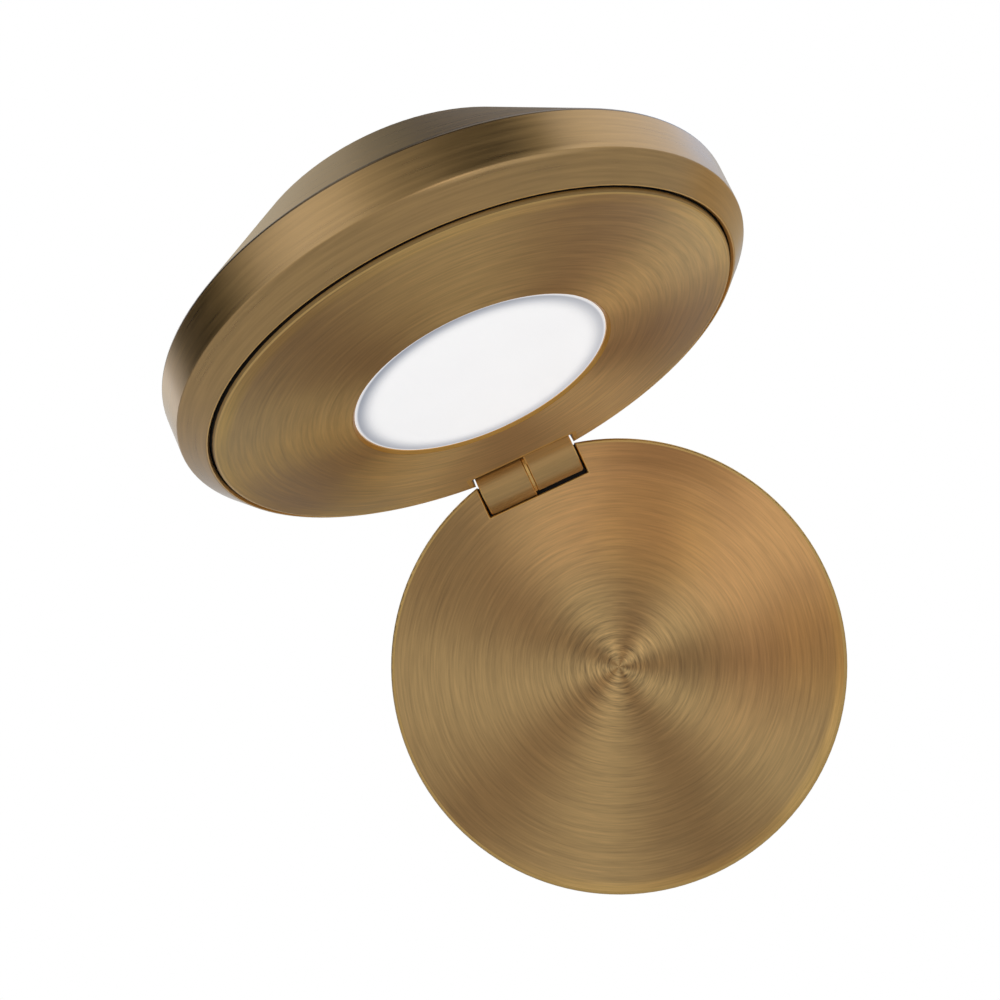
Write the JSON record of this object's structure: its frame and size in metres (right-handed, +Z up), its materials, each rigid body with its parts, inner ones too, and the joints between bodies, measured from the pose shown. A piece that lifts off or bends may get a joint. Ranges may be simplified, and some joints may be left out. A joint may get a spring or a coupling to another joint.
{
  "type": "folding wall light",
  "caption": "Flat round brushed-brass wall plate with a deeper round head hinged to its rim; the head has an opal lens and folds down over the plate.",
  "frame": {"origin": "middle of the two wall screws, on the wall face", "axes": "+X to the right along the hinge, +Y into the wall, +Z up; the light stands out towards -Y"},
  "size_m": [0.1066, 0.1053, 0.1531],
  "materials": {
    "antique_brass": "circular brushed, lacquered",
    "zinc_steel": "zinc plated",
    "spring_steel": "bright",
    "black_rubber": "matt",
    "opal_lens": "opal, satin",
    "white_plastic": "moulded",
    "aluminium_sink": "as cast",
    "circuit_board": "solder mask",
    "led_yellow": "phosphor",
    "component_black": "moulded",
    "lead_black": "smooth sheath",
    "magnet_nickel": "nickel plated"
  },
  "bodies": {
    "wall_plate": {"wall_bracket": "zinc_steel", "rim_seal": "black_rubber", "front_plate": "antique_brass", "plate_grub_screws": "zinc_steel", "plate_knuckle": "antique_brass", "plate_knuckle_screws": "zinc_steel", "hinge_pin": "spring_steel", "friction_washer": "antique_brass", "spring_washer": "spring_steel", "tension_nut": "spring_steel", "plate_pin_cap": "antique_brass", "terminal_block": "white_plastic", "terminal_screws": "zinc_steel", "cable_grommet": "black_rubber", "keeper_magnet": "magnet_nickel", "plate_lead": "lead_black"},
    "head": {"head_shell": "antique_brass", "inner_disc": "antique_brass", "seam_seal": "black_rubber", "retaining_clips": "spring_steel", "lens": "opal_lens", "lens_gasket": "black_rubber", "lens_retainer": "white_plastic", "retainer_screws": "zinc_steel", "reflector": "white_plastic", "led_board": "aluminium_sink", "led_chips": "led_yellow", "led_board_screws": "zinc_steel", "heat_sink": "aluminium_sink", "heat_sink_screws": "zinc_steel", "driver_board": "circuit_board", "driver_parts": "component_black", "driver_screws": "zinc_steel", "closing_sensor": "circuit_board", "head_knuckle": "antique_brass", "head_knuckle_screws": "zinc_steel", "head_pin_cap": "antique_brass", "head_lead": "lead_black"}
  },
  "joints": [
    {"name": "head_hinge", "type": "hinge", "parent": "wall_plate", "child": "head", "pos_m": [0, -0.0113, 0.0474], "axis": [-1, 0, 0], "range_deg": [-107.6, 0]}
  ]
}
